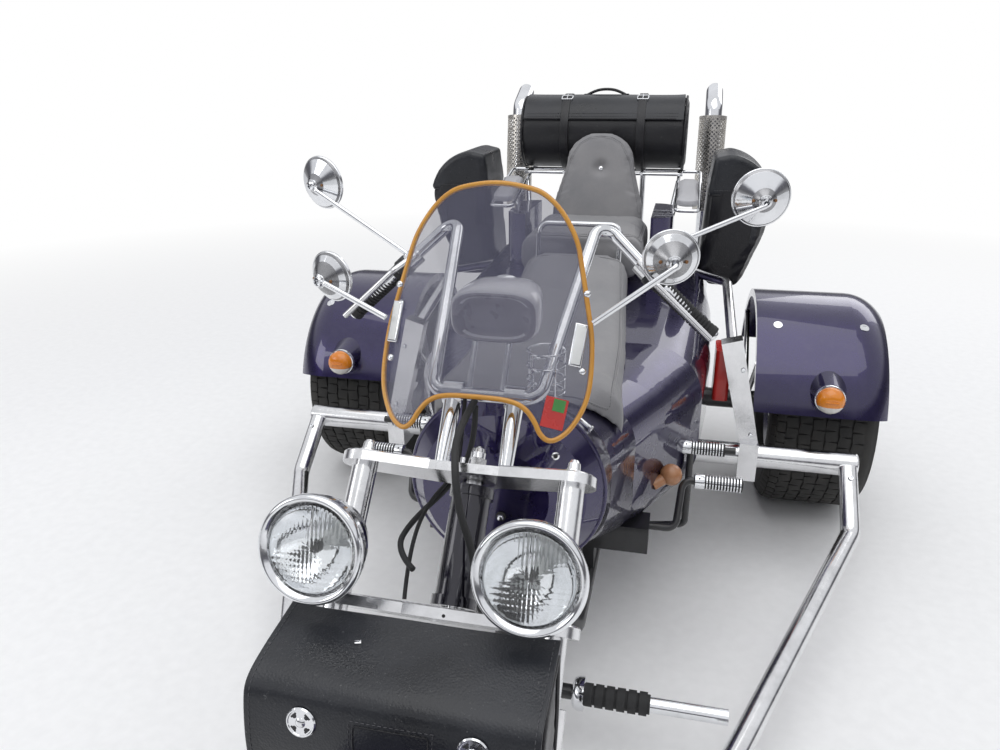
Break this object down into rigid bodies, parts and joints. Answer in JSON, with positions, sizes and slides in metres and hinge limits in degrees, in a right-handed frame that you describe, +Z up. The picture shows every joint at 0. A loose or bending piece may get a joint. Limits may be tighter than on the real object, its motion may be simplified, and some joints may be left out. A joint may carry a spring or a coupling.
{
  "type": "motorized trike",
  "caption": "Rear-wheel-drive motorized trike with a raked front fork, long polished guard bars, a low saddle, luggage bags and upright exhaust stacks.",
  "frame": {"origin": "on the ground, midway along the overall length, on the centre plane", "axes": "+X to the rider's left, +Y to the rear, +Z up"},
  "size_m": [1.844, 3.2052, 1.3243],
  "materials": {
    "frame_black": "satin",
    "indigo_paint": "gloss",
    "grey_leather": "matte",
    "chrome": "mirror",
    "polished": "polished",
    "rubber": "matte",
    "wood": "varnished",
    "cast_metal": "rough",
    "black_leather": "satin",
    "amber": "gloss",
    "red_plastic": "gloss",
    "clear_glass": "clear",
    "black_plastic": "matte",
    "smoked_screen": "clear",
    "tyre": "matte"
  },
  "bodies": {
    "chassis": {"main_frame": "frame_black", "headstock": "indigo_paint", "body_tub": "indigo_paint", "driver_saddle": "grey_leather", "passenger_seat": "grey_leather", "backrest": "grey_leather", "grab_rail": "chrome", "armrest_pads": "grey_leather", "crossbar": "polished", "side_brackets": "polished", "side_stays": "polished", "guard_bars": "polished", "highway_pegs": "rubber", "footrests": "chrome", "pedals": "chrome", "gear_lever": "wood", "engine": "cast_metal", "exhaust_stacks": "chrome", "heat_shields": "polished", "luggage_rack": "chrome", "roll_bag": "black_leather", "saddlebags": "black_leather", "rear_fenders": "indigo_paint", "signal_lamps": "amber", "red_canister": "red_plastic"},
    "steering": {"fork_clamps": "polished", "fork_tubes": "polished", "fork_legs": "polished", "headlamps": "chrome", "lamp_lenses": "clear_glass", "fork_bag": "black_leather", "handlebar": "chrome", "grips": "rubber", "hand_levers": "polished", "mirrors": "chrome", "instrument_pod": "black_plastic", "windscreen": "smoked_screen", "front_fender": "indigo_paint", "control_hoses": "rubber"},
    "front_wheel": {"front_tyre": "tyre", "front_rim": "polished"},
    "left_wheel": {"left_tyre": "tyre", "left_rim": "polished"},
    "right_wheel": {"right_tyre": "tyre", "right_rim": "polished"}
  },
  "joints": [
    {"name": "steering_turn", "type": "hinge", "parent": "chassis", "child": "steering", "pos_m": [0, -0.705, 0.746], "axis": [0, 0.682, 0.7314], "range_deg": [-30, 30]},
    {"name": "front_wheel_spin", "type": "hinge", "parent": "steering", "child": "front_wheel", "pos_m": [0, -1.306, 0.28], "axis": [1, 0, 0], "continuous": true},
    {"name": "left_wheel_spin", "type": "hinge", "parent": "chassis", "child": "left_wheel", "pos_m": [0.76, 0.759, 0.325], "axis": [1, 0, 0], "continuous": true},
    {"name": "right_wheel_spin", "type": "hinge", "parent": "chassis", "child": "right_wheel", "pos_m": [-0.76, 0.759, 0.325], "axis": [1, 0, 0], "continuous": true}
  ]
}
